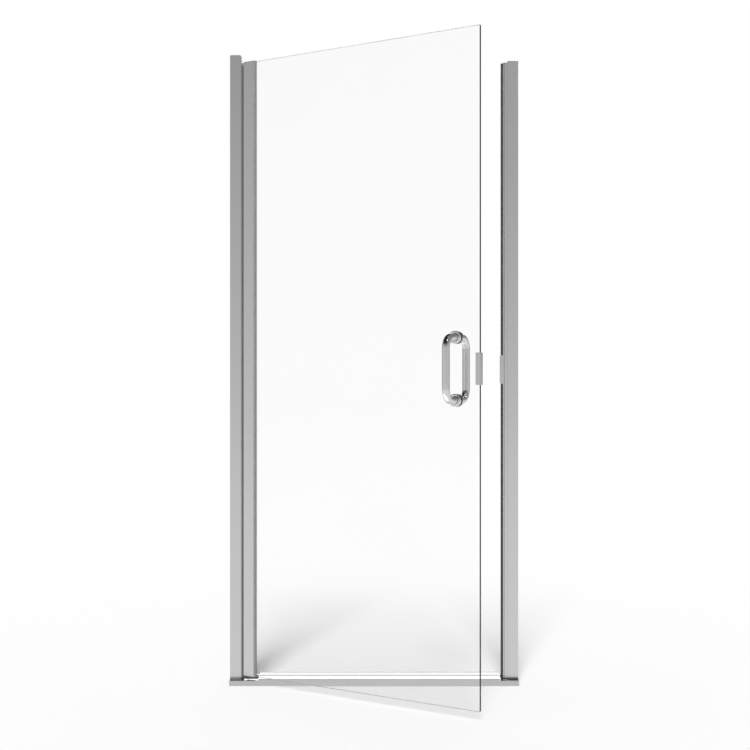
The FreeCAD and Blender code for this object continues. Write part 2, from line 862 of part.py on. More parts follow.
def make_frame():
    hinge_jamb_top = overall_height - cap_thickness
    bearing_top = stile_top - bushing_height
    thrust_top = stile_bottom - thrust_gap
    keeper_low = strike_height - keeper_length / 2 - seal_end_gap
    keeper_high = strike_height + keeper_length / 2 + seal_end_gap
    magnet_end = keeper_face_x + magnet_thickness
    return {
        "sill": make_sill(),
        "hinge_wall_jamb": make_jamb(overall_height),
        "hinge_post": make_post(hinge_post_reach, hinge_jamb_top, overall_height),
        "hinge_bearing_strip": make_bearing(thrust_top, bearing_top),
        "hinge_top_bushing": make_bearing(bearing_top, stile_top),
        "hinge_thrust_block": bearing_body(jamb_bottom, thrust_top),
        "hinge_jamb_cap": make_jamb_cap(overall_height),
        "hinge_foot_gasket": make_foot(hinge_x + stile_end),
        "hinge_post_screws": make_lock_screws(overall_height),
        "strike_wall_jamb": mirrored_to_strike(make_jamb(strike_jamb_height)),
        "strike_post": make_strike_post(),
        "strike_jamb_cap": mirrored_to_strike(make_jamb_cap(strike_jamb_height)),
        "strike_post_cap": make_post_cap(),
        "strike_foot_gasket": mirrored_to_strike(make_foot(from_wall(strike_post_reach + seal_reach))),
        "strike_post_screws": mirrored_to_strike(make_lock_screws(strike_jamb_height)),
        "strike_seal_upper": make_seal(keeper_high, strike_post_top - post_cap_thickness),
        "strike_seal_lower": make_seal(jamb_bottom + seal_floor_gap, keeper_low),
        "strike_keeper": make_keeper(),
        "strike_magnet": magnet_bar(keeper_face_x, magnet_end, strike_y),
        "strike_keeper_screws": make_keeper_screws(),
    }


def make_door():
    latch_end = glass_edge + latch_overhang
    door = {
        "glass_panel": make_glass(),
        "door_stile": make_stile(),
        "glazing_gasket": make_glazing_gasket(),
        "glazing_wedge": make_glazing_wedge(),
        "stile_top_cap": make_stile_cap(stile_top, door_top, stile_top - stile_plug_height, stile_top),
        "stile_bottom_cap": make_stile_cap(
            door_bottom, stile_bottom, stile_bottom, stile_bottom + stile_plug_height),
        "front_pull": make_pull(),
        "rear_pull": make_rear_pull(),
        "pull_set_screws": make_set_screws(),
        "latch_body": make_latch_body(),
        "latch_liner": make_latch_liner(),
        "latch_magnet": magnet_bar(latch_end - magnet_thickness, latch_end, glass_middle),
        "latch_set_screws": make_latch_screws(),
    }
    for place, height in zip(("upper", "lower"), pull_heights()):
        door["pull_collar_front_" + place] = make_collar(height)
        door["pull_collar_rear_" + place] = behind_glass(make_collar(height))
        door["pull_pad_front_" + place] = make_pad(height)
        door["pull_pad_rear_" + place] = behind_glass(make_pad(height))
        door["pull_stud_" + place] = make_stud(height)
        door["glass_sleeve_" + place] = make_sleeve(height)
    return {name: hang(solid) for name, solid in door.items()}


os.makedirs("parts", exist_ok=True)
nodes = {**make_frame(), **make_door()}
for name, shape in nodes.items():
    shape.exportStep(os.path.join("parts", name + ".step"))
    state = "valid" if shape.isValid() else "not valid"
    print(name, len(shape.Solids), "solid", round(shape.Volume), "mm3", state)
print("hinge axis", round(hinge_x, 3), round(hinge_y, 3))
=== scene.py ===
import json
import math

import bmesh
import bpy
from mathutils import Matrix, Vector

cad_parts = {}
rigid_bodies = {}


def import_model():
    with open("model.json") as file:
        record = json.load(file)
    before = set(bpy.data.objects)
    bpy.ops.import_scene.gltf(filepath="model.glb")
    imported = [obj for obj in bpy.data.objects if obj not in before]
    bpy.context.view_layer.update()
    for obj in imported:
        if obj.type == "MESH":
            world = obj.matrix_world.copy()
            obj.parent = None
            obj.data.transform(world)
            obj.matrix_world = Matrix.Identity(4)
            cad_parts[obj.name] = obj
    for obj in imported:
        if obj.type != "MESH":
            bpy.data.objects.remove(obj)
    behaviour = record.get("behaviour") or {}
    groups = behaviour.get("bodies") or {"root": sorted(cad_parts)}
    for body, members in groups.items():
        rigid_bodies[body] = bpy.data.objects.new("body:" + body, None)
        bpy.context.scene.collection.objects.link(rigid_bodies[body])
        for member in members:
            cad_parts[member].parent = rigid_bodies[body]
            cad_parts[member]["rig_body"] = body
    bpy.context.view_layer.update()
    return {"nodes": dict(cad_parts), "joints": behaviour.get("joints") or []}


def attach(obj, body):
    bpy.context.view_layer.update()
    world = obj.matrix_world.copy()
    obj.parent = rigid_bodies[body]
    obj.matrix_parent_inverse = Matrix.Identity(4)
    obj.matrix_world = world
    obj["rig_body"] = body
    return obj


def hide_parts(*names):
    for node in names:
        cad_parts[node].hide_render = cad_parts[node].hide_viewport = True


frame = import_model()
nodes = frame["nodes"]
scene = bpy.context.scene

mm = 0.001
screwsApart = 20 * mm    # screws that share a node stand further apart than this in height

# The door stands open at rest. Its own axes: u along the glass from the hinge, v through it into the shower
swing = frame["joints"][0]
hingeX, hingeY = swing["pos_m"][:2]
openAngle = math.radians(-swing["range_deg"][0])
doorPlace = Matrix.Translation((hingeX, hingeY, 0)) @ Matrix.Rotation(-openAngle, 4, "Z")
toDoor = doorPlace.inverted()


def boxOf(spots):
    low = Vector([min(spot[axis] for spot in spots) for axis in range(3)])
    high = Vector([max(spot[axis] for spot in spots) for axis in range(3)])
    return low, high


def doorBox(node):
    return boxOf([toDoor @ vertex.co for vertex in nodes[node].data.vertices])


def solidBoxes(node, place=Matrix.Identity(4)):
    # one box for each separate screw of a node
    spots = sorted((place @ vertex.co for vertex in nodes[node].data.vertices), key=lambda spot: spot.z)
    groups = [[spots[0]]]
    for before, spot in zip(spots, spots[1:]):
        if spot.z - before.z > screwsApart:
            groups.append([])
        groups[-1].append(spot)
    return [boxOf(group) for group in groups]


def middle(box):
    return (box[0] + box[1]) / 2


# Small helpers for node trees

def feed(tree, socket, value):
    if isinstance(value, bpy.types.NodeSocket):
        tree.links.new(value, socket)
    else:
        socket.default_value = value


def addNode(tree, kind, inputs=None, **settings):
    node = tree.nodes.new(kind)
    for name, value in settings.items():
        setattr(node, name, value)
    for name, value in (inputs or {}).items():
        feed(tree, node.inputs[name], value)
    return node


def maths(tree, operation, first, second, clamp=False):
    node = addNode(tree, "ShaderNodeMath", {0: first, 1: second}, operation=operation, use_clamp=clamp)
    return node.outputs[0]


def ranged(tree, value, reach, low=0.0, high=1.0):
    return addNode(tree, "ShaderNodeMapRange", {
        "Value": value, "From Min": reach[0], "From Max": reach[1], "To Min": low, "To Max": high,
    }).outputs[0]


def noise(tree, vector, scale, detail, distortion=0.0):
    return addNode(tree, "ShaderNodeTexNoise", {
        "Vector": vector, "Scale": scale, "Detail": detail, "Distortion": distortion,
    }).outputs[0]


def grey(level):
    return level, level, level, 1


def scaled(tree, colour, factor):
    return addNode(tree, "ShaderNodeVectorMath", {0: colour, "Scale": factor}, operation="SCALE").outputs[0]


def blendColours(tree, factor, first, second):
    node = addNode(tree, "ShaderNodeMix", data_type="RGBA")
    for name, value in (("Factor_Float", factor), ("A_Color", first), ("B_Color", second)):
        socket = next(item for item in node.inputs if item.identifier == name)
        feed(tree, socket, value)
    return next(item for item in node.outputs if item.identifier == "Result_Color")


def startGroup(name, inputs, outputs):
    tree = bpy.data.node_groups.new(name, "ShaderNodeTree")
    for label, kind in inputs.items():
        tree.interface.new_socket(label, in_out="INPUT", socket_type="NodeSocket" + kind)
    for label, kind in outputs.items():
        tree.interface.new_socket(label, in_out="OUTPUT", socket_type="NodeSocket" + kind)
    return tree, tree.nodes.new("NodeGroupInput").outputs, tree.nodes.new("NodeGroupOutput").inputs


# Effects that several finishes share

dieLines = {
    "fineScale": 1900.0,
    "fineShare": 0.7,
    "bandScale": 140.0,
    "bandShare": 0.6,
    "glossShare": 0.16,    # how far the roughness follows the lines
}


def makeDrawnGrain():
    # fine die lines and broader tone bands; the material stretches the vector along the extrusion
    tree, given, out = startGroup(
        "drawnGrain",
        {"Vector": "Vector", "Color": "Color", "Streak": "Float", "Roughness": "Float"},
        {"Color": "Color", "Roughness": "Float", "Height": "Float"},
    )
    fine = noise(tree, given["Vector"], dieLines["fineScale"], detail=3.0)
    broad = noise(tree, given["Vector"], dieLines["bandScale"], detail=2.0)
    lines = maths(tree, "MULTIPLY", maths(tree, "SUBTRACT", fine, 0.5), dieLines["fineShare"])
    bands = maths(tree, "MULTIPLY", maths(tree, "SUBTRACT", broad, 0.5), dieLines["bandShare"])
    both = maths(tree, "ADD", lines, bands)
    shade = maths(tree, "ADD", 1.0, maths(tree, "MULTIPLY", both, given["Streak"]))
    gloss = maths(tree, "MULTIPLY", both, dieLines["glossShare"])
    tree.links.new(scaled(tree, given["Color"], shade), out["Color"])
    tree.links.new(maths(tree, "ADD", given["Roughness"], gloss), out["Roughness"])
    tree.links.new(fine, out["Height"])
    return tree


mouldSkin = {
    "driftScale": 35.0,
    "driftShare": 0.4,
    "darkest": 0.8,
    "glossShare": 0.3,    # how far the roughness follows the pebble
}


def makeMouldedSkin():
    # spark-eroded pebble and slow drift of tone, for plastics and rubber
    tree, given, out = startGroup(
        "mouldedSkin",
        {"Vector": "Vector", "Color": "Color", "Pebble": "Float", "Roughness": "Float"},
        {"Color": "Color", "Roughness": "Float", "Height": "Float"},
    )
    pebble = noise(tree, given["Vector"], given["Pebble"], detail=4.0)
    drift = noise(tree, given["Vector"], mouldSkin["driftScale"], detail=2.0)
    tone = maths(tree, "ADD", mouldSkin["darkest"], maths(tree, "MULTIPLY", drift, mouldSkin["driftShare"]))
    gloss = maths(tree, "MULTIPLY", maths(tree, "SUBTRACT", pebble, 0.5), mouldSkin["glossShare"])
    tree.links.new(scaled(tree, given["Color"], tone), out["Color"])
    tree.links.new(maths(tree, "ADD", given["Roughness"], gloss), out["Roughness"])
    tree.links.new(pebble, out["Height"])
    return tree


handSmears = {
    "detail": 5.0,
    "distortion": 1.6,
    "reach": (0.48, 0.72),    # noise up to the first value is clean, from the second it is smeared
}


def makeHandledFilm():
    # soft smears left by hands and a wiped cloth
    tree, given, out = startGroup(
        "handledFilm",
        {"Vector": "Vector", "Scale": "Float", "Roughness": "Float", "Smear": "Float"},
        {"Roughness": "Float", "Mask": "Float"},
    )
    smear = noise(tree, given["Vector"], given["Scale"], handSmears["detail"], handSmears["distortion"])
    mask = ranged(tree, smear, handSmears["reach"])
    tree.links.new(mask, out["Mask"])
    added = maths(tree, "MULTIPLY", mask, given["Smear"])
    tree.links.new(maths(tree, "ADD", given["Roughness"], added), out["Roughness"])
    return tree


drawnGrain = makeDrawnGrain()
mouldedSkin = makeMouldedSkin()
handledFilm = makeHandledFilm()
print("shared finishes ready")


# Materials

def startMaterial(name, **sockets):
    material = bpy.data.materials.new(name)
    material.use_nodes = True
    shader = material.node_tree.nodes["Principled BSDF"]
    for label, value in sockets.items():
        shader.inputs[label].default_value = value
    return material, material.node_tree, shader


def placed(tree, stretch=(1, 1, 1)):
    spot = addNode(tree, "ShaderNodeTexCoord").outputs["Object"]
    return addNode(tree, "ShaderNodeMapping", {"Vector": spot, "Scale": stretch}).outputs[0]


def bump(tree, shader, height, depth):
    node = addNode(tree, "ShaderNodeBump", {"Height": height, "Strength": 0.5, "Distance": depth})
    tree.links.new(node.outputs[0], shader.inputs["Normal"])


def useGroup(tree, group, inputs):
    return addNode(tree, "ShaderNodeGroup", inputs, node_tree=group).outputs


def applyEffect(tree, shader, effect, depth=0):
    tree.links.new(effect["Color"], shader.inputs["Base Color"])
    tree.links.new(effect["Roughness"], shader.inputs["Roughness"])
    if depth:
        bump(tree, shader, effect["Height"], depth)


aluminium = {
    "colour": (0.72, 0.72, 0.73),
    "streak": 0.07,
    "stretch": 0.004,         # scale along the extrusion: the die lines run long
    "grainDepth": 0.002 * mm,
    "oxideIor": 1.6,          # the clear layer on top
    "oxideRoughness": 0.12,
}


def satinAluminium(name, axis, shade, roughness, coat):
    material, tree, shader = startMaterial(name, Metallic=1.0)
    stretch = [1, 1, 1]
    stretch[axis] = aluminium["stretch"]
    grain = useGroup(tree, drawnGrain, {
        "Vector": placed(tree, stretch),
        "Color": [part * shade for part in aluminium["colour"]] + [1],
        "Streak": aluminium["streak"],
        "Roughness": roughness,
    })
    applyEffect(tree, shader, grain, aluminium["grainDepth"])
    shader.inputs["Coat Weight"].default_value = coat
    shader.inputs["Coat IOR"].default_value = aluminium["oxideIor"]
    shader.inputs["Coat Roughness"].default_value = aluminium["oxideRoughness"]
    return material


def mouldedPlastic(name, colour, roughness, pebble, depth):
    material, tree, shader = startMaterial(name)
    skin = useGroup(tree, mouldedSkin, {
        "Vector": placed(tree),
        "Color": colour,
        "Pebble": pebble,
        "Roughness": roughness,
    })
    applyEffect(tree, shader, skin, depth)
    return material


plating = {
    "dulled": 0.93,          # tone where it was handled
    "brushStretch": 0.02,    # scale along the brush strokes
    "brushDepth": 0.01 * mm,
}


def platedMetal(name, colour, roughness, smear, scale, brushed=0.0):
    material, tree, shader = startMaterial(name, Metallic=1.0)
    film = useGroup(tree, handledFilm, {
        "Vector": placed(tree),
        "Scale": scale,
        "Roughness": roughness,
        "Smear": smear,
    })
    tree.links.new(film["Roughness"], shader.inputs["Roughness"])
    if brushed:
        grain = useGroup(tree, drawnGrain, {
            "Vector": placed(tree, (1, 1, plating["brushStretch"])),
            "Color": colour,
            "Streak": brushed,
            "Roughness": roughness,
        })
        tone = grain["Color"]
        bump(tree, shader, grain["Height"], plating["brushDepth"])
    else:
        dulled = [part * plating["dulled"] for part in colour[:3]] + [1]
        tone = blendColours(tree, film["Mask"], colour, dulled)
    tree.links.new(tone, shader.inputs["Base Color"])
    return material


def letLampsThrough(tree, shader, tint):
    # lamps reach the floor through the pane; eyes see the real glass
    clear = addNode(tree, "ShaderNodeBsdfTransparent", {"Color": tint})
    path = addNode(tree, "ShaderNodeLightPath")
    mix = addNode(tree, "ShaderNodeMixShader", {0: path.outputs["Is Shadow Ray"]})
    tree.links.new(shader.outputs[0], mix.inputs[1])
    tree.links.new(clear.outputs[0], mix.inputs[2])
    tree.links.new(mix.outputs[0], tree.nodes["Material Output"].inputs["Surface"])


glass = {
    "ior": 1.5,
    "colour": (0.99, 0.993, 0.992, 1),
    "smeared": (0.98, 0.985, 0.983, 1),
    "smearScale": 2.5,
    "smear": 0.004,
    "shadow": (0.888, 0.89, 0.89, 1),           # lamp light past the pane, and past its edges
    "edgeShadow": (0.82, 0.825, 0.825, 1),
    "edgeStretch": 0.05,                        # scale along the grinding lines
    "edgeStreak": 0.5,
    "edgeRoughness": 0.2,
    "edgeDepth": 0.004 * mm,
}


def clearGlass():
    material, tree, shader = startMaterial("clearGlass", IOR=glass["ior"])
    shader.inputs["Transmission Weight"].default_value = 1.0
    film = useGroup(tree, handledFilm, {
        "Vector": placed(tree),
        "Scale": glass["smearScale"],
        "Roughness": 0.0,
        "Smear": glass["smear"],
    })
    tree.links.new(film["Roughness"], shader.inputs["Roughness"])
    pale = blendColours(tree, film["Mask"], glass["colour"], glass["smeared"])
    tree.links.new(pale, shader.inputs["Base Color"])
    letLampsThrough(tree, shader, glass["shadow"])
    return material


def glassEdge(name, colour, specular):
    # ground and polished edge with grinding lines; the colour given for each edge is painted light and
    # painted shade
    material, tree, shader = startMaterial(name, IOR=glass["ior"])
    shader.inputs["Specular IOR Level"].default_value = specular
    grain = useGroup(tree, drawnGrain, {
        "Vector": placed(tree, (1, 1, glass["edgeStretch"])),
        "Color": colour,
        "Streak": glass["edgeStreak"],
        "Roughness": glass["edgeRoughness"],
    })
    applyEffect(tree, shader, grain, glass["edgeDepth"])
    letLampsThrough(tree, shader, glass["edgeShadow"])
    return material


def clearVinyl():
    material, tree, shader = startMaterial("clearVinyl", IOR=1.5)
    shader.inputs["Transmission Weight"].default_value = 0.7
    skin = useGroup(tree, mouldedSkin, {
        "Vector": placed(tree),
        "Color": (0.86, 0.87, 0.87, 1),
        "Pebble": 900.0,
        "Roughness": 0.22,
    })
    applyEffect(tree, shader, skin)
    return material


finishes = {material.name: material for material in (
    satinAluminium("uprightAluminium", axis=2, shade=1.0, roughness=0.3, coat=0.35),
    # painted shade: the sill is the uprights' aluminium painted darker, for the shaded floor its front
    # mirrors
    satinAluminium("shadedSillAluminium", axis=0, shade=0.765, roughness=0.16, coat=1.0),
    mouldedPlastic("greyNylon", (0.25, 0.25, 0.255, 1), roughness=0.42, pebble=1400.0, depth=0.03 * mm),
    mouldedPlastic("darkAcetal", (0.12, 0.12, 0.122, 1), roughness=0.4, pebble=1600.0, depth=0.02 * mm),
    # painted light: the stile's bottom cap is dark acetal painted lighter
    mouldedPlastic("litCapAcetal", (0.22, 0.22, 0.223, 1), roughness=0.4, pebble=1600.0, depth=0.02 * mm),
    mouldedPlastic("blackRubber", (0.016, 0.016, 0.017, 1), roughness=0.65, pebble=1100.0, depth=0.05 * mm),
    mouldedPlastic("sealRubber", (0.06, 0.06, 0.061, 1), roughness=0.6, pebble=1100.0, depth=0.05 * mm),
    # painted light: the hinge foot gasket is the strike foot gasket's rubber painted lighter
    mouldedPlastic("litFootRubber", (0.2, 0.2, 0.202, 1), roughness=0.6, pebble=900.0, depth=0.06 * mm),
    mouldedPlastic("greyVinyl", (0.26, 0.26, 0.265, 1), roughness=0.45, pebble=1200.0, depth=0.03 * mm),
    clearVinyl(),
    platedMetal("polishedChrome", (0.75, 0.75, 0.757, 1), roughness=0.045, smear=0.05, scale=24.0),
    platedMetal("satinChrome", (0.72, 0.715, 0.725, 1), roughness=0.3, smear=0.05, scale=60.0, brushed=0.12),
    platedMetal("nickelPlate", (0.8, 0.79, 0.77, 1), roughness=0.3, smear=0.03, scale=30.0),
    platedMetal("stainlessSteel", (0.6, 0.6, 0.6, 1), roughness=0.26, smear=0.1, scale=160.0),
    clearGlass(),
    # painted shade: the free edge is dark, as the pane looks when seen along it
    glassEdge("shadedFreeGlassEdge", (0.012, 0.015, 0.0145, 1), specular=0.12),    # dark, as seen along the pane
    # painted light: the top edge is lighter, as where the lamps fall on it
    glassEdge("topGlassEdge", (0.92, 0.93, 0.928, 1), specular=0.4),
    # painted shade: the bottom edge is darker, as it faces down, away from the lamps
    glassEdge("bottomGlassEdge", (0.4, 0.41, 0.408, 1), specular=0.4),
)}
print("materials ready:", len(finishes))


# The CAD pieces: a merged copy stands for its node, with the edges of mouldings and castings eased

def linked(name, mesh):
    piece = bpy.data.objects.new(name, mesh)
    scene.collection.objects.link(piece)
    return piece


def plainMesh(piece):
    graph = bpy.context.evaluated_depsgraph_get()
    return bpy.data.meshes.new_from_object(piece.evaluated_get(graph), depsgraph=graph)


merging = {
    "distance": 0.002 * mm,
    "sliver": 0.001 * mm,
    "flat": math.radians(0.4),    # faces within this angle become one
}


def mergedCopy(node):
    work = bmesh.new()
    work.from_mesh(nodes[node].data)
    bmesh.ops.remove_doubles(work, verts=work.verts, dist=merging["distance"])
    bmesh.ops.dissolve_degenerate(work, edges=work.edges, dist=merging["sliver"])
    bmesh.ops.dissolve_limit(work, angle_limit=merging["flat"], verts=work.verts, edges=work.edges)
    mesh = bpy.data.meshes.new(node)
    work.to_mesh(mesh)
    work.free()
    mesh.attributes.remove(mesh.attributes["custom_normal"])    # it belonged to the loose triangles
    return mesh


def camel(node):
    first, *rest = node.split("_")
    return first + "".join(word.capitalize() for word in rest)


def carry(piece, node):
    body = nodes[node]["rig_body"]
    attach(piece, body)


crispAngles = {"cut": math.radians(32), "grown": math.radians(35)}    # steeper edges stay crisp


def smooth(mesh, crispAngle):
    for face in mesh.polygons:
        face.use_smooth = True
    mesh.set_sharp_from_angle(angle=crispAngle)


def easedPiece(node, finish, ease):
    draft = linked(camel(node), mergedCopy(node))
    smooth(draft.data, crispAngles["cut"])
    if ease:
        bevel = draft.modifiers.new("ease", "BEVEL")
        bevel.width = ease
        bevel.segments = 2
        bevel.limit_method = "ANGLE"
        bevel.angle_limit = math.radians(40)
    flatten = draft.modifiers.new("flatten", "WEIGHTED_NORMAL")    # flat faces look flat beside rounds
    flatten.keep_sharp = True
    flatten.weight = 90
    mesh = plainMesh(draft)
    draft.modifiers.clear()
    draft.data = mesh
    draft.data.materials.clear()
    draft.data.materials.append(finishes[finish])
    carry(draft, node)
    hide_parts(node)


edgeWidths = {"cap": 0.25 * mm, "casting": 0.3 * mm, "strip": 0.2 * mm, "liner": 0.1 * mm, "cut": 0}
pieceGroups = [
    ("uprightAluminium", "cut", [
        "hinge_wall_jamb", "hinge_post", "strike_wall_jamb", "strike_post", "door_stile",
    ]),
    ("shadedSillAluminium", "cut", ["sill"]),
    ("greyNylon", "cap", ["hinge_jamb_cap", "strike_jamb_cap", "strike_post_cap", "stile_top_cap"]),
    ("greyNylon", "cut", ["hinge_top_bushing"]),
    ("litCapAcetal", "cap", ["stile_bottom_cap"]),
    ("darkAcetal", "cut", ["hinge_bearing_strip", "hinge_thrust_block"]),
    ("sealRubber", "strip", ["strike_seal_upper", "strike_seal_lower", "strike_foot_gasket"]),
    # painted light on the hinge foot gasket
    ("litFootRubber", "strip", ["hinge_foot_gasket"]),
    ("greyVinyl", "strip", ["glazing_gasket", "glazing_wedge"]),
    ("satinChrome", "casting", ["latch_body", "strike_keeper"]),
    ("nickelPlate", "strip", ["latch_magnet", "strike_magnet"]),
    ("clearVinyl", "liner", ["latch_liner", "glass_sleeve_upper", "glass_sleeve_lower"]),
]
for finish, edge, members in pieceGroups:
    for node in members:
        easedPiece(node, finish, edgeWidths[edge])
print("eased pieces ready")


# Glass pane

pane = {
    # painted shade: a band of the faces next to the free edge takes the dark edge colour
    "polish": 1.5 * mm,    # how far the dark free edge reaches on to the faces
    "squareOn": 0.99,      # a normal with less of its length through the glass belongs to an edge
}


def makePane():
    mesh = mergedCopy("glass_panel")
    shadeBandStart = doorBox("glass_panel")[1].x - pane["polish"]
    work = bmesh.new()
    work.from_mesh(mesh)
    bmesh.ops.bisect_plane(
        work, geom=work.verts[:] + work.edges[:] + work.faces[:],
        plane_co=doorPlace @ Vector((shadeBandStart, 0, 0)), plane_no=doorPlace.to_3x3() @ Vector((1, 0, 0)),
    )
    work.to_mesh(mesh)
    work.free()
    for finish in ("clearGlass", "shadedFreeGlassEdge", "topGlassEdge", "bottomGlassEdge"):    # 0, 1, 2, 3 below
        mesh.materials.append(finishes[finish])
    for face in mesh.polygons:
        face.use_smooth = False
        normal = toDoor.to_3x3() @ face.normal
        # painted shade on the faces next to the free edge
        if (toDoor @ face.center).x > shadeBandStart:
            face.material_index = 1
        elif abs(normal.y) < pane["squareOn"]:
            face.material_index = 2 if normal.z > 0 else 3
    piece = linked("glassPane", mesh)
    carry(piece, "glass_panel")
    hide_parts("glass_panel")


makePane()
print("glass ready")

# Grey vinyl sheet over the stile's rounded nose that reaches to the glass: painted shade, darker than the
# aluminium round it
glazingBead = {
    "noseRadius": 7.0 * mm,
    "proud": 0.15 * mm,
    "sunk": 0.2 * mm,
    "start": math.radians(14),    # from the stile's front face round to its side
    "glassGap": 0.05 * mm,
    "steps": 16,
}


def makeNoseShadeBead():
    low, high = doorBox("door_stile")
    glassFront = doorBox("glass_panel")[0].y
    radius = glazingBead["noseRadius"]
    turnU, turnV = high.x - radius, low.y + radius
    sweep = math.pi / 2 - glazingBead["start"]
    outline = []
    for reach in (radius + glazingBead["proud"], radius - glazingBead["sunk"]):
        side = []
        for step in range(glazingBead["steps"] + 1):
            angle = glazingBead["start"] + sweep * step / glazingBead["steps"]
            side.append((turnU + reach * math.sin(angle), turnV - reach * math.cos(angle)))
        side.append((turnU + reach, glassFront - glazingBead["glassGap"]))
        outline += side if not outline else reversed(side)
    work = bmesh.new()
    section = work.faces.new([work.verts.new((u, v, low.z)) for u, v in outline])
    raised = bmesh.ops.extrude_face_region(work, geom=[section])["geom"]
    tops = [item for item in raised if isinstance(item, bmesh.types.BMVert)]
    bmesh.ops.translate(work, verts=tops, vec=(0, 0, high.z - low.z))
    bmesh.ops.recalc_face_normals(work, faces=work.faces)
    mesh = bpy.data.meshes.new("glazingBead")
    work.to_mesh(mesh)
    work.free()
    mesh.transform(doorPlace)
    mesh.materials.append(finishes["greyVinyl"])
    smooth(mesh, crispAngles["cut"])
    bead = linked("glazingBead", mesh)
    carry(bead, "door_stile")


makeNoseShadeBead()
print("glazing bead ready")


# Geometry Nodes: each tree has named sizes, and ends in realised geometry with its material

def startTree(name, sizes):
    tree = bpy.data.node_groups.new(name, "GeometryNodeTree")
    tree.interface.new_socket("Geometry", in_out="INPUT", socket_type="NodeSocketGeometry")
    for label, kind in sizes.items():
        tree.interface.new_socket(label, in_out="INPUT", socket_type="NodeSocket" + kind)
    tree.interface.new_socket("Material", in_out="INPUT", socket_type="NodeSocketMaterial")
    tree.interface.new_socket("Geometry", in_out="OUTPUT", socket_type="NodeSocketGeometry")
    return tree, tree.nodes.new("NodeGroupInput").outputs


def endTree(tree, given, shape):
    real = addNode(tree, "GeometryNodeRealizeInstances", {0: shape})
    painted = addNode(tree, "GeometryNodeSetMaterial", {
        "Geometry": real.outputs[0],
        "Material": given["Material"],
    })
    tree.links.new(painted.outputs[0], tree.nodes.new("NodeGroupOutput").inputs[0])
    return tree


def setOnPoints(tree, given, shape):
    spots = addNode(tree, "GeometryNodeMeshToPoints", {"Mesh": given["Geometry"]})
    copies = addNode(tree, "GeometryNodeInstanceOnPoints", {
        "Points": spots.outputs[0],
        "Instance": shape,
        "Rotation": given["Turn"],
    })
    return endTree(tree, given, copies.outputs[0])


def grow(name, seed, tree, values):
    draft = linked(name + "Seed", seed)
    modifier = draft.modifiers.new("grow", "NODES")
    modifier.node_group = tree
    for item in tree.interface.items_tree:
        if item.in_out == "INPUT" and item.name in values:
            modifier[item.identifier] = values[item.name]
    mesh = plainMesh(draft)
    draft.modifiers.clear()
    bpy.data.objects.remove(draft)
    return mesh


def finishPiece(name, mesh, node, replaced):
    smooth(mesh, crispAngles["grown"])
    piece = linked(name, mesh)
    carry(piece, node)
    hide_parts(*replaced)
    return piece


def pointSeed(name, spots):
    mesh = bpy.data.meshes.new(name)
    mesh.from_pydata([tuple(spot) for spot in spots], [], [])
    return mesh


def bentTubeTree():
    tree, given = startTree("bentTube", {
        "Bend Radius": "Float", "Bend Steps": "Int", "Tube Radius": "Float", "Sides": "Int",
    })
    path = addNode(tree, "GeometryNodeFilletCurve", {
        "Curve": given["Geometry"],
        "Count": given["Bend Steps"],
        "Radius": given["Bend Radius"],
    }, mode="POLY")
    ring = addNode(tree, "GeometryNodeCurvePrimitiveCircle", {
        "Resolution": given["Sides"],
        "Radius": given["Tube Radius"],
    })
    tube = addNode(tree, "GeometryNodeCurveToMesh", {
        "Curve": path.outputs[0],
        "Profile Curve": ring.outputs[0],
        "Fill Caps": True,
    })
    return endTree(tree, given, tube.outputs[0])


def turnedRingTree():
    # a ring with eased edges, turned about its own axis and set on each point
    tree, given = startTree("turnedRing", {
        "Outer Radius": "Float", "Inner Radius": "Float", "Length": "Float",
        "Edge Radius": "Float", "Edge Steps": "Int", "Sides": "Int", "Turn": "Rotation",
    })
    wall = maths(tree, "SUBTRACT", given["Outer Radius"], given["Inner Radius"])
    both = maths(tree, "ADD", given["Outer Radius"], given["Inner Radius"])
    section = addNode(tree, "GeometryNodeCurvePrimitiveQuadrilateral", {
        "Width": wall,
        "Height": given["Length"],
    })
    eased = addNode(tree, "GeometryNodeFilletCurve", {
        "Curve": section.outputs[0],
        "Count": given["Edge Steps"],
        "Radius": given["Edge Radius"],
    }, mode="POLY")
    path = addNode(tree, "GeometryNodeCurvePrimitiveCircle", {
        "Resolution": given["Sides"],
        "Radius": maths(tree, "MULTIPLY", both, 0.5),
    })
    ring = addNode(tree, "GeometryNodeCurveToMesh", {
        "Curve": path.outputs[0],
        "Profile Curve": eased.outputs[0],
    })
    return setOnPoints(tree, given, ring.outputs[0])


bentTube = bentTubeTree()
turnedRing = turnedRingTree()

pull = {
    "bendRadius": 30 * mm,
    "bendSteps": 28,
    "sides": 64,
    "holeClearance": 0.15 * mm,
    "holeRun": 2 * mm,    # how far the drill starts below the screw
}


def makePull(name, node, facing):
    # the path starts and ends at the glass; facing is -1 outside and +1 in the shower
    low, high = doorBox(node)
    radius = (high.x - low.x) / 2
    u = low.x + radius
    nearGlass, bar = (high.y, low.y + radius) if facing < 0 else (low.y, high.y - radius)
    top, bottom = high.z - radius, low.z + radius
    corners = [(u, nearGlass, top), (u, bar, top), (u, bar, bottom), (u, nearGlass, bottom)]
    path = bpy.data.curves.new(name + "Path", "CURVE")
    path.dimensions = "3D"
    spline = path.splines.new("POLY")
    spline.points.add(len(corners) - 1)
    for point, corner in zip(spline.points, corners):
        point.co = (*corner, 1)
    mesh = grow(name, path, bentTube, {
        "Bend Radius": pull["bendRadius"],
        "Bend Steps": pull["bendSteps"],
        "Tube Radius": radius,
        "Sides": pull["sides"],
        "Material": finishes["polishedChrome"],
    })
    mesh.transform(doorPlace)
    return finishPiece(name, mesh, node, [node])


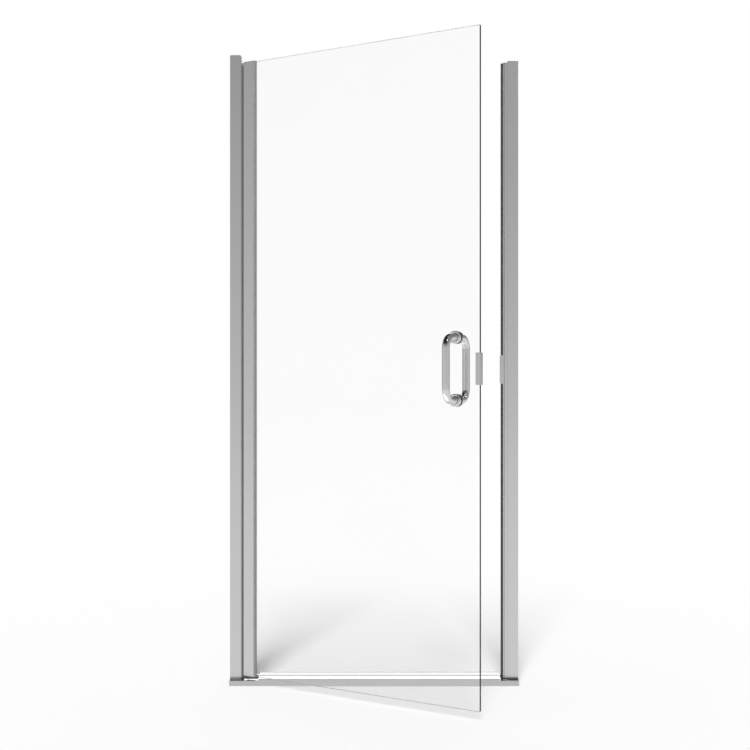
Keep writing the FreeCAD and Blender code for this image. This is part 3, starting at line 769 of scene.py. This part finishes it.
def drillForSetScrews(piece):
    # each hole runs from below the arm to the inner end of its screw
    drill = bmesh.new()
    for low, high in solidBoxes("pull_set_screws", toDoor):
        radius = (high.x - low.x) / 2 + pull["holeClearance"]
        depth = high.z - low.z + 2 * pull["holeRun"]
        place = Matrix.Translation(middle((low, high)) - Vector((0, 0, pull["holeRun"])))
        bmesh.ops.create_cone(drill, cap_ends=True, segments=pull["sides"], radius1=radius, radius2=radius,
                              depth=depth, matrix=place)
    mesh = bpy.data.meshes.new("setScrewDrill")
    drill.to_mesh(mesh)
    drill.free()
    mesh.transform(doorPlace)
    tool = linked("setScrewDrill", mesh)
    cut = piece.modifiers.new("drill", "BOOLEAN")
    cut.object = tool
    cut.solver = "EXACT"
    drilled = plainMesh(piece)
    piece.modifiers.clear()
    piece.data = drilled
    bpy.data.objects.remove(tool)


frontPull = makePull("frontPull", "front_pull", facing=-1)
rearPull = makePull("rearPull", "rear_pull", facing=1)
drillForSetScrews(rearPull)
print("pulls ready")

ringEdges = {
    "collarEdge": 1.8 * mm,
    "padEdge": 0.5 * mm,
    "padBore": 5 * mm,
    "sides": 72,
    "edgeSteps": 5,
}
pullPlaces = [(side, level) for side in ("front", "rear") for level in ("upper", "lower")]


def makeRings(name, kind, finish, innerRadius, edge):
    members = [f"pull_{kind}_{side}_{level}" for side, level in pullPlaces]
    boxes = [doorBox(member) for member in members]
    low, high = boxes[0]
    mesh = grow(name, pointSeed(name + "Spots", [middle(box) for box in boxes]), turnedRing, {
        "Outer Radius": (high.x - low.x) / 2,
        "Inner Radius": innerRadius,
        "Length": high.y - low.y,
        "Edge Radius": edge,
        "Edge Steps": ringEdges["edgeSteps"],
        "Sides": ringEdges["sides"],
        "Turn": (math.pi / 2, 0, 0),
        "Material": finishes[finish],
    })
    mesh.transform(doorPlace)
    return finishPiece(name, mesh, members[0], members)


pullLow, pullHigh = doorBox("front_pull")
tubeRadius = (pullHigh.x - pullLow.x) / 2
pullCollars = makeRings("pullCollars", "collar", "polishedChrome", tubeRadius, ringEdges["collarEdge"])
makeRings("pullPads", "pad", "blackRubber", ringEdges["padBore"], ringEdges["padEdge"])
print("collars and pads ready")


# Screws: each tree builds one along +Z, with its outer end at the origin, and sets it on each point

def lowered(tree, shape, depth):
    drop = addNode(tree, "ShaderNodeCombineXYZ", {"Z": maths(tree, "MULTIPLY", depth, -1.0)})
    moved = addNode(tree, "GeometryNodeTransform", {"Geometry": shape, "Translation": drop.outputs[0]})
    return moved.outputs[0]


def cutAway(tree, shape, tools):
    how = {"operation": "DIFFERENCE", "solver": "EXACT"}
    cut = addNode(tree, "GeometryNodeMeshBoolean", {"Mesh 1": shape}, **how)
    for tool in tools:
        tree.links.new(tool, cut.inputs["Mesh 2"])
    return cut.outputs["Mesh"]


crossScrew = {
    "panHeight": 2.4 * mm,
    "panSide": 3.0,     # powers and share that shape the pan head
    "panFall": 0.97,
    "panCrown": 0.4,
    "headSteps": 12,
    "flatHeight": 2.0 * mm,
    "shankRadius": 1.75 * mm,
    "recessLength": 4.2 * mm,
    "recessWidth": 0.9 * mm,
    "recessDepth": 1.3 * mm,
    "sides": 40,
}


def crossScrewTree(name, countersunk):
    tree, given = startTree(name, {
        "Head Radius": "Float", "Head Height": "Float", "Shank Radius": "Float", "Shank Length": "Float",
        "Recess Length": "Float", "Recess Width": "Float", "Recess Depth": "Float",
        "Sides": "Int", "Turn": "Rotation",
    })
    foot = addNode(tree, "ShaderNodeCombineXYZ", {"Z": maths(tree, "MULTIPLY", given["Head Height"], -1.0)})
    axis = addNode(tree, "GeometryNodeCurvePrimitiveLine", {"Start": foot.outputs[0], "End": (0, 0, 0)})
    steps = addNode(tree, "GeometryNodeResampleCurve", {
        "Curve": axis.outputs[0],
        "Count": crossScrew["headSteps"],
    })
    along = addNode(tree, "GeometryNodeSplineParameter").outputs["Factor"]
    if countersunk:
        flare = maths(tree, "SUBTRACT", given["Head Radius"], given["Shank Radius"])
        radius = maths(tree, "ADD", given["Shank Radius"], maths(tree, "MULTIPLY", flare, along))
    else:
        # pan head: steep sides, a crown that stays a little flat
        fall = maths(tree, "POWER", along, crossScrew["panSide"])
        inner = maths(tree, "SUBTRACT", 1.0, maths(tree, "MULTIPLY", fall, crossScrew["panFall"]))
        dome = maths(tree, "POWER", inner, crossScrew["panCrown"])
        radius = maths(tree, "MULTIPLY", given["Head Radius"], dome)
    ring = addNode(tree, "GeometryNodeCurvePrimitiveCircle", {"Resolution": given["Sides"], "Radius": 1.0})
    head = addNode(tree, "GeometryNodeCurveToMesh", {
        "Curve": steps.outputs[0],
        "Profile Curve": ring.outputs[0],
        "Scale": radius,
        "Fill Caps": True,
    })
    deep = maths(tree, "MULTIPLY", given["Recess Depth"], 2.0)
    arms = []
    for across, up in (("Recess Length", "Recess Width"), ("Recess Width", "Recess Length")):
        size = addNode(tree, "ShaderNodeCombineXYZ", {"X": given[across], "Y": given[up], "Z": deep})
        arms.append(addNode(tree, "GeometryNodeMeshCube", {"Size": size.outputs[0]}).outputs["Mesh"])
    shank = addNode(tree, "GeometryNodeMeshCylinder", {
        "Vertices": given["Sides"],
        "Radius": given["Shank Radius"],
        "Depth": given["Shank Length"],
    }).outputs["Mesh"]
    half = maths(tree, "MULTIPLY", given["Shank Length"], 0.5)
    shank = lowered(tree, shank, maths(tree, "ADD", given["Head Height"], half))
    whole = addNode(tree, "GeometryNodeJoinGeometry")
    for shape in (cutAway(tree, head.outputs[0], arms), shank):
        tree.links.new(shape, whole.inputs[0])
    return setOnPoints(tree, given, whole.outputs[0])


setScrew = {
    "keyShare": 0.56,    # across the key's corners, of the screw's own width
    "keyDepth": 1.4 * mm,
    "sides": 40,
}


def socketScrewTree():
    tree, given = startTree("socketScrew", {
        "Radius": "Float", "Length": "Float", "Key Radius": "Float", "Key Depth": "Float",
        "Sides": "Int", "Turn": "Rotation",
    })
    body = addNode(tree, "GeometryNodeMeshCylinder", {
        "Vertices": given["Sides"],
        "Radius": given["Radius"],
        "Depth": given["Length"],
    }).outputs["Mesh"]
    body = lowered(tree, body, maths(tree, "MULTIPLY", given["Length"], 0.5))
    key = addNode(tree, "GeometryNodeMeshCylinder", {
        "Vertices": 6,
        "Radius": given["Key Radius"],
        "Depth": maths(tree, "MULTIPLY", given["Key Depth"], 2.0),
    }).outputs["Mesh"]
    return setOnPoints(tree, given, cutAway(tree, body, [key]))


outwards = {    # turns that bring +Z to a side
    "+y": (-math.pi / 2, 0, 0),
    "-x": (0, -math.pi / 2, 0),
    "-z": (math.pi, 0, 0),
}
panScrew = crossScrewTree("panScrew", countersunk=False)
flatScrew = crossScrewTree("flatScrew", countersunk=True)
socketScrew = socketScrewTree()


def axisOf(side):
    return "xyz".index(side[1])


def outerEnd(box, side):
    # the middle of the box's face on that side, such as "+y"
    spot = middle(box)
    axis = axisOf(side)
    spot[axis] = box[1][axis] if side[0] == "+" else box[0][axis]
    return spot


def makeCrossScrews(name, tree, members, side, headHeight):
    boxes = [box for member in members for box in solidBoxes(member)]
    size = boxes[0][1] - boxes[0][0]
    mesh = grow(name, pointSeed(name + "Spots", [outerEnd(box, side) for box in boxes]), tree, {
        "Head Radius": size.z / 2,
        "Head Height": headHeight,
        "Shank Radius": crossScrew["shankRadius"],
        "Shank Length": size[axisOf(side)] - headHeight,
        "Recess Length": crossScrew["recessLength"],
        "Recess Width": crossScrew["recessWidth"],
        "Recess Depth": crossScrew["recessDepth"],
        "Sides": crossScrew["sides"],
        "Turn": outwards[side],
        "Material": finishes["stainlessSteel"],
    })
    finishPiece(name, mesh, members[0], members)


def makeSetScrews(name, node, side):
    boxes = solidBoxes(node, toDoor)
    size = boxes[0][1] - boxes[0][0]
    radius = size.x / 2
    mesh = grow(name, pointSeed(name + "Spots", [outerEnd(box, side) for box in boxes]), socketScrew, {
        "Radius": radius,
        "Length": size[axisOf(side)],
        "Key Radius": radius * setScrew["keyShare"],
        "Key Depth": setScrew["keyDepth"],
        "Sides": setScrew["sides"],
        "Turn": outwards[side],
        "Material": finishes["stainlessSteel"],
    })
    mesh.transform(doorPlace)
    finishPiece(name, mesh, node, [node])


postScrews = ["hinge_post_screws", "strike_post_screws"]
makeCrossScrews("postScrews", panScrew, postScrews, "+y", crossScrew["panHeight"])
makeCrossScrews("keeperScrews", flatScrew, ["strike_keeper_screws"], "-x", crossScrew["flatHeight"])
makeSetScrews("pullSetScrews", "pull_set_screws", "-z")
makeSetScrews("latchSetScrews", "latch_set_screws", "+y")
print("screws ready")

# The studs keep their own mesh
for node in ("pull_stud_upper", "pull_stud_lower"):
    nodes[node].data.materials.clear()
    nodes[node].data.materials.append(finishes["stainlessSteel"])


# Studio: pale floor that fades to white, and what polished metal sees round it

studio = {
    "floorSize": 60.0,
    "floorColour": (0.95, 0.95, 0.95, 1),
    "nearGlow": 0.02,        # share of the floor that is plain white to the eye, in front of the door
    "fadeSpot": (0, -0.4, 0),
    "fade": (0.35, 2.6),     # metres from that spot over which the share grows to all
    "nearInMetal": 0.84,     # the floor as polished metal shows it, and far off towards the horizon
    "farInMetal": 0.66,
    "farReach": (3.0, 25.0),
    "ambient": 0.31,
    "keyStrength": 2.85,
    "keyAngle": math.radians(16),    # soft edges, as from a wide lamp far off
    "keySpot": (-0.13, -1.0, 1.3),   # it shines from there to the origin
    "lampRim": (0.5, 0.3),           # where a small lamp is dark and where bright, as shares of its width
    "aim": (0.2, -0.35, 0.95),       # all small lamps face this spot
}
glints = {
    "rightGlint": {"power": 3.5, "size": 0.5, "spot": (0.9, -1.65, 3.15)},
    "rearGlint": {"power": 3.5, "size": 0.5, "spot": (2.2, 0.35, 2.45)},
    "topGlint": {"power": 3.0, "size": 0.45, "spot": (0.55, -0.15, 3.3)},
    "lowGlint": {"power": 2.2, "size": 1.3, "spot": (0.05, -0.3, 0.43), "pullsOnly": True},
}
surround = {
    # how bright it is at the sine of the height above the horizon, in front
    "levels": (
        (0.0, 0.62), (0.16, 0.535), (0.285, 0.46), (0.42, 0.32), (0.53, 0.12), (0.64, 0.03), (0.74, 0.02),
    ),
    "leftLevel": 1.08,              # share of that on the left
    "leftReach": (-0.5, -0.75),
    "cornerLevel": 0.55,            # and towards the back corners
    "cornerReach": (0.25, 0.55),    # how far round to the back: 0 is the side, 1 straight behind
    "overLevel": 0.3,               # overhead, but for the dark upper left that the pulls mirror
    "overReach": (0.42, 0.7),
    "overSide": (0.05, 0.35),
    "wallLevel": (0.66, 1.6),       # pale wall straight behind, which only a level surface mirrors
    "wallRise": (0.0, 0.2),         # it grows from the far floor's level over this height
    "wallReach": (0.05, 0.3),
    "wallWidth": (0.35, 0.2),
    "wallTop": (0.62, 0.42),        # and it ends before it gets overhead
}


def seenDirectly(tree):
    # what the eye sees, also through the glass, and what only a mirror shows
    path = addNode(tree, "ShaderNodeLightPath").outputs
    through = path["Is Transmission Ray"]
    undimmed = maths(tree, "LESS_THAN", path["Diffuse Depth"], 0.5)
    bounces = maths(tree, "ADD", path["Diffuse Depth"], path["Glossy Depth"])
    unmirrored = maths(tree, "LESS_THAN", bounces, 0.5)
    eye = maths(tree, "MAXIMUM", path["Is Camera Ray"], maths(tree, "MULTIPLY", through, unmirrored))
    shown = maths(tree, "MULTIPLY", maths(tree, "MAXIMUM", path["Is Glossy Ray"], through), undimmed)
    return eye, maths(tree, "SUBTRACT", shown, eye, clamp=True)


def distance(tree, spot, other):
    node = addNode(tree, "ShaderNodeVectorMath", {0: spot, 1: other}, operation="DISTANCE")
    return node.outputs["Value"]


def makeFloor():
    half = studio["floorSize"] / 2
    mesh = bpy.data.meshes.new("floor")
    corners = [(-half, -half, 0), (half, -half, 0), (half, half, 0), (-half, half, 0)]
    mesh.from_pydata(corners, [], [(0, 1, 2, 3)])
    floor = linked("floor", mesh)
    material = bpy.data.materials.new("paleFloor")
    material.use_nodes = True
    tree = material.node_tree
    tree.nodes.remove(tree.nodes["Principled BSDF"])
    spot = addNode(tree, "ShaderNodeTexCoord").outputs["Object"]
    away = distance(tree, spot, studio["fadeSpot"])
    share = ranged(tree, away, studio["fade"], studio["nearGlow"], 1.0)
    eye, gloss = seenDirectly(tree)
    inMetal = ranged(tree, away, studio["farReach"], studio["nearInMetal"], studio["farInMetal"])
    level = maths(tree, "ADD", eye, maths(tree, "MULTIPLY", gloss, inMetal))
    share = maths(tree, "ADD", maths(tree, "MULTIPLY", share, eye), gloss)
    matte = addNode(tree, "ShaderNodeBsdfDiffuse", {"Color": studio["floorColour"]})
    glow = addNode(tree, "ShaderNodeEmission", {"Color": (1, 1, 1, 1), "Strength": level})
    mix = addNode(tree, "ShaderNodeMixShader", {0: share})
    tree.links.new(matte.outputs[0], mix.inputs[1])
    tree.links.new(glow.outputs[0], mix.inputs[2])
    tree.links.new(mix.outputs[0], tree.nodes["Material Output"].inputs["Surface"])
    mesh.materials.append(material)


def makeWorld():
    world = bpy.data.worlds.new("studio")
    scene.world = world
    world.use_nodes = True
    tree = world.node_tree
    tree.nodes.clear()
    direction = addNode(tree, "ShaderNodeTexCoord").outputs["Generated"]
    parts = addNode(tree, "ShaderNodeSeparateXYZ", {0: direction}).outputs
    height = addNode(tree, "ShaderNodeValToRGB", {0: parts["Z"]})
    stops = height.color_ramp.elements
    while len(stops) < len(surround["levels"]):
        stops.new(1.0)
    for stop, (place, level) in zip(stops, surround["levels"]):
        stop.position = place
        stop.color = grey(level)
    corner = ranged(tree, parts["Y"], surround["cornerReach"], 1.0, surround["cornerLevel"])
    left = ranged(tree, parts["X"], surround["leftReach"], 1.0, surround["leftLevel"])
    dimmed = scaled(tree, height.outputs[0], maths(tree, "MULTIPLY", corner, left))
    overHeight = ranged(tree, parts["Z"], surround["overReach"])
    overSide = ranged(tree, parts["X"], surround["overSide"])
    over = maths(tree, "MULTIPLY", overHeight, overSide)
    above = blendColours(tree, over, dimmed, grey(surround["overLevel"]))
    aside = maths(tree, "ABSOLUTE", parts["X"], 0.0)
    behind = ranged(tree, parts["Y"], surround["wallReach"])
    wallShare = maths(tree, "MULTIPLY", behind, ranged(tree, aside, surround["wallWidth"]))
    wallShare = maths(tree, "MULTIPLY", wallShare, ranged(tree, parts["Z"], surround["wallTop"]))
    wall = ranged(tree, parts["Z"], surround["wallRise"], *surround["wallLevel"])
    inMetal = blendColours(tree, wallShare, above, wall)
    eye, gloss = seenDirectly(tree)
    seen = blendColours(tree, gloss, grey(studio["ambient"]), inMetal)
    seen = blendColours(tree, eye, seen, grey(1.0))
    sky = addNode(tree, "ShaderNodeBackground", {"Color": seen, "Strength": 1.0})
    out = addNode(tree, "ShaderNodeOutputWorld")
    tree.links.new(sky.outputs[0], out.inputs["Surface"])


def hang(light, spot, aim, mirrored):
    holder = bpy.data.objects.new(light.name, light)
    holder.location = spot
    holder.rotation_euler = (Vector(aim) - Vector(spot)).to_track_quat("-Z", "Y").to_euler()
    holder.visible_camera = False
    holder.visible_transmission = False
    holder.visible_glossy = mirrored
    holder.visible_diffuse = not mirrored
    scene.collection.objects.link(holder)
    return holder


def softenRim(lamp):
    # as a cloth front does: bright in the middle, nothing at the rim
    lamp.use_nodes = True
    tree = lamp.node_tree
    across = addNode(tree, "ShaderNodeNewGeometry").outputs["Parametric"]
    bright = ranged(tree, distance(tree, across, (0.5, 0.5, 0)), studio["lampRim"])
    tree.links.new(bright, tree.nodes["Emission"].inputs["Strength"])


def makeLamps():
    key = bpy.data.lights.new("keyLamp", "SUN")
    key.energy = studio["keyStrength"]
    key.angle = studio["keyAngle"]
    hang(key, studio["keySpot"], (0, 0, 0), mirrored=False)
    pulls = bpy.data.collections.new("pulls")
    for piece in (frontPull, rearPull, pullCollars):
        pulls.objects.link(piece)
    for name, glint in glints.items():
        lamp = bpy.data.lights.new(name, "AREA")
        lamp.shape = "DISK"
        lamp.energy = glint["power"]
        lamp.size = glint["size"]
        softenRim(lamp)
        holder = hang(lamp, glint["spot"], studio["aim"], mirrored=True)
        if glint.get("pullsOnly"):
            holder.light_linking.receiver_collection = pulls


makeFloor()
makeWorld()
makeLamps()
print("studio ready")

# Camera: level, square on, at the height of the door's middle
view = {
    "spot": (2.5 * mm, -3130 * mm, 899 * mm),
    "focalPixels": 1071.6,
    "imagePixels": 750,
    "sensor": 36.0,
}
lens = bpy.data.cameras.new("camera")
lens.sensor_width = view["sensor"]
lens.lens = view["focalPixels"] * view["sensor"] / view["imagePixels"]
camera = bpy.data.objects.new("camera", lens)
camera.location = view["spot"]
camera.rotation_euler = (math.pi / 2, 0, 0)
scene.collection.objects.link(camera)
scene.camera = camera
scene.view_settings.view_transform = "Standard"
print("camera ready")
